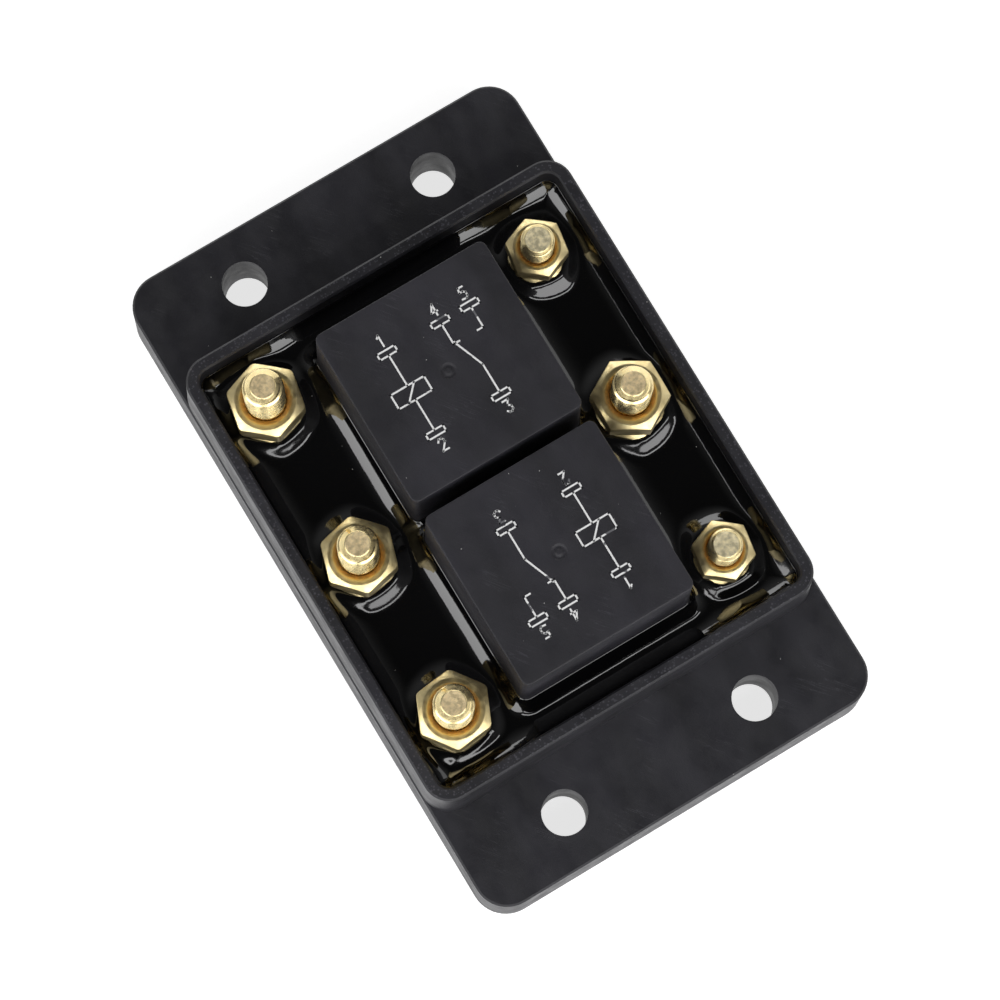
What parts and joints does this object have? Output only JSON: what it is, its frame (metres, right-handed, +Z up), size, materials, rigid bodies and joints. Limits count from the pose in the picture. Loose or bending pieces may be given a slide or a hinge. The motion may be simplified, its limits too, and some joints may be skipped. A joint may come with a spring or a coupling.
{
  "type": "relay module",
  "caption": "Potted reversing relay module: a flanged black tray with sealed relays side by side and threaded brass stud terminals that carry stacked nuts",
  "frame": {"origin": "centre of the flat underside of the flanged tray", "axes": "+Z up out of the tray along the studs, +Y along the tray's length towards relay a, +X across the tray from the column of large studs to the column with the small ones"},
  "size_m": [0.065, 0.106, 0.0323],
  "materials": {
    "moulded_black": "matte moulded black with fine scuffs",
    "potting_compound": "glossy jet-black cast epoxy",
    "relay_plastic": "fine-grained charcoal moulding",
    "terminal_brass": "machined, lightly tarnished",
    "contact_copper": "rolled copper",
    "copper_wire": "enamelled copper wire",
    "soft_iron": "zinc-plated soft iron",
    "spring_steel": "drawn spring wire",
    "board_laminate": "glass-epoxy laminate",
    "bobbin_nylon": "natural nylon"
  },
  "bodies": {
    "module": {"housing": "moulded_black", "potting": "potting_compound", "circuit_board": "board_laminate", "busbar_positive": "contact_copper", "busbar_negative": "contact_copper", "busbar_motor_a": "contact_copper", "busbar_motor_b": "contact_copper", "stud_positive": "terminal_brass", "stud_negative": "terminal_brass", "stud_motor_a": "terminal_brass", "stud_motor_b": "terminal_brass", "stud_control_a": "terminal_brass", "stud_control_b": "terminal_brass", "spacers_large": "terminal_brass", "spacers_small": "terminal_brass", "lower_nut_positive": "terminal_brass", "lower_nut_negative": "terminal_brass", "lower_nut_motor_a": "terminal_brass", "lower_nut_motor_b": "terminal_brass", "lower_nut_control_a": "terminal_brass", "lower_nut_control_b": "terminal_brass", "relay_a_cover": "relay_plastic", "relay_a_base": "relay_plastic", "relay_a_bobbin": "bobbin_nylon", "relay_a_coil": "copper_wire", "relay_a_core": "soft_iron", "relay_a_yoke": "soft_iron", "relay_a_open_contact": "contact_copper", "relay_a_closed_contact": "contact_copper", "relay_a_spring": "spring_steel", "relay_a_common_terminal": "contact_copper", "relay_a_coil_terminal_in": "contact_copper", "relay_a_coil_terminal_out": "contact_copper", "relay_b_cover": "relay_plastic", "relay_b_base": "relay_plastic", "relay_b_bobbin": "bobbin_nylon", "relay_b_coil": "copper_wire", "relay_b_core": "soft_iron", "relay_b_yoke": "soft_iron", "relay_b_open_contact": "contact_copper", "relay_b_closed_contact": "contact_copper", "relay_b_spring": "spring_steel", "relay_b_common_terminal": "contact_copper", "relay_b_coil_terminal_in": "contact_copper", "relay_b_coil_terminal_out": "contact_copper"},
    "upper_nut_positive": {"upper_nut_positive": "terminal_brass"},
    "upper_nut_negative": {"upper_nut_negative": "terminal_brass"},
    "upper_nut_motor_a": {"upper_nut_motor_a": "terminal_brass"},
    "upper_nut_motor_b": {"upper_nut_motor_b": "terminal_brass"},
    "upper_nut_control_a": {"upper_nut_control_a": "terminal_brass"},
    "upper_nut_control_b": {"upper_nut_control_b": "terminal_brass"},
    "relay_a_swing": {"relay_a_armature": "soft_iron", "relay_a_moving_contact": "contact_copper"},
    "relay_b_swing": {"relay_b_armature": "soft_iron", "relay_b_moving_contact": "contact_copper"}
  },
  "joints": [
    {"name": "nut_lift_positive", "type": "slide", "parent": "module", "child": "upper_nut_positive", "axis": [0, 0, 1], "range_m": [0, 0.017]},
    {"name": "nut_lift_negative", "type": "slide", "parent": "module", "child": "upper_nut_negative", "axis": [0, 0, 1], "range_m": [0, 0.017]},
    {"name": "nut_lift_motor_a", "type": "slide", "parent": "module", "child": "upper_nut_motor_a", "axis": [0, 0, 1], "range_m": [0, 0.017]},
    {"name": "nut_lift_motor_b", "type": "slide", "parent": "module", "child": "upper_nut_motor_b", "axis": [0, 0, 1], "range_m": [0, 0.017]},
    {"name": "nut_lift_control_a", "type": "slide", "parent": "module", "child": "upper_nut_control_a", "axis": [0, 0, 1], "range_m": [0, 0.017]},
    {"name": "nut_lift_control_b", "type": "slide", "parent": "module", "child": "upper_nut_control_b", "axis": [0, 0, 1], "range_m": [0, 0.017]},
    {"name": "armature_swing_a", "type": "hinge", "parent": "module", "child": "relay_a_swing", "pos_m": [0.0006, 0.0243, 0.0259], "axis": [1, 0, 0], "range_deg": [0, 3.5], "stiffness_Nm_per_rad": 0.01, "springref_deg": -22.92},
    {"name": "armature_swing_b", "type": "hinge", "parent": "module", "child": "relay_b_swing", "pos_m": [0.0006, -0.0243, 0.0259], "axis": [-1, 0, 0], "range_deg": [0, 3.5], "stiffness_Nm_per_rad": 0.01, "springref_deg": -22.92}
  ]
}
